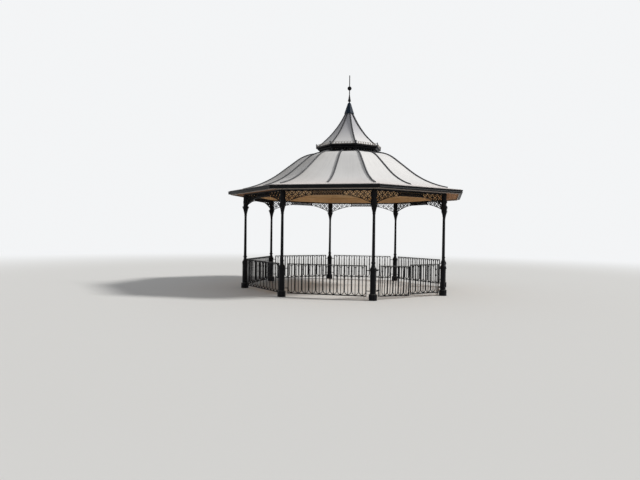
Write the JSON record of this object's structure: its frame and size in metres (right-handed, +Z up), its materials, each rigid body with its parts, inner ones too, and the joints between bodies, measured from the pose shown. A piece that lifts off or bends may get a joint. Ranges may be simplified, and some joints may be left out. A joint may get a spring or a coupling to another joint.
{
  "type": "octagonal park bandstand",
  "caption": "Octagonal cast iron bandstand with lace friezes and railings, a pair of gates, an ogee sheet roof, a lantern ring and a concave spire with a finial.",
  "frame": {"origin": "on the ground at the centre of the octagon, under the finial", "axes": "+Z is up, the gate bay faces -Y, and X runs along the gate bay"},
  "size_m": [7.9088, 7.9088, 7.6429],
  "materials": {
    "cast_iron": "gloss black paint on cast and wrought iron",
    "roof_sheet": "light grey coated metal sheet",
    "roll_lead": "dark painted sheet capping",
    "cap_sheet": "dark blue grey painted sheet",
    "fascia_paint": "buff painted timber",
    "ceiling_wood": "varnished softwood boards",
    "cresting_paint": "weathered paint on fine castings"
  },
  "bodies": {
    "root": {"column_1": "cast_iron", "column_2": "cast_iron", "column_3": "cast_iron", "column_4": "cast_iron", "column_5": "cast_iron", "column_6": "cast_iron", "column_7": "cast_iron", "column_8": "cast_iron", "frieze_1": "cast_iron", "frieze_2": "cast_iron", "frieze_3": "cast_iron", "frieze_4": "cast_iron", "frieze_5": "cast_iron", "frieze_6": "cast_iron", "frieze_7": "cast_iron", "frieze_8": "cast_iron", "railing_2": "cast_iron", "railing_3": "cast_iron", "railing_4": "cast_iron", "railing_5": "cast_iron", "railing_6": "cast_iron", "railing_7": "cast_iron", "railing_8": "cast_iron", "ring_beam": "cast_iron", "fascia": "fascia_paint", "gutter": "cast_iron", "soffit_boards": "ceiling_wood", "ceiling_boards": "ceiling_wood", "roof_panels": "roof_sheet", "roof_rolls": "roll_lead", "lantern_deck": "ceiling_wood", "lantern_drum": "cast_iron", "lantern_cornice": "cast_iron", "lantern_cresting": "cresting_paint", "spire_panels": "roof_sheet", "spire_rolls": "roll_lead", "spire_cap": "cap_sheet", "finial": "cast_iron"},
    "gate_left": {"gate_leaf_left": "cast_iron"},
    "gate_right": {"gate_leaf_right": "cast_iron"}
  },
  "joints": [
    {"name": "gate_left_hinge", "type": "hinge", "parent": "root", "child": "gate_left", "pos_m": [-1.25062, -3.3814, 0.6], "axis": [0, 0, 1], "range_deg": [0, 95]},
    {"name": "gate_right_hinge", "type": "hinge", "parent": "root", "child": "gate_right", "pos_m": [1.25062, -3.3814, 0.6], "axis": [0, 0, -1], "range_deg": [0, 95]}
  ]
}
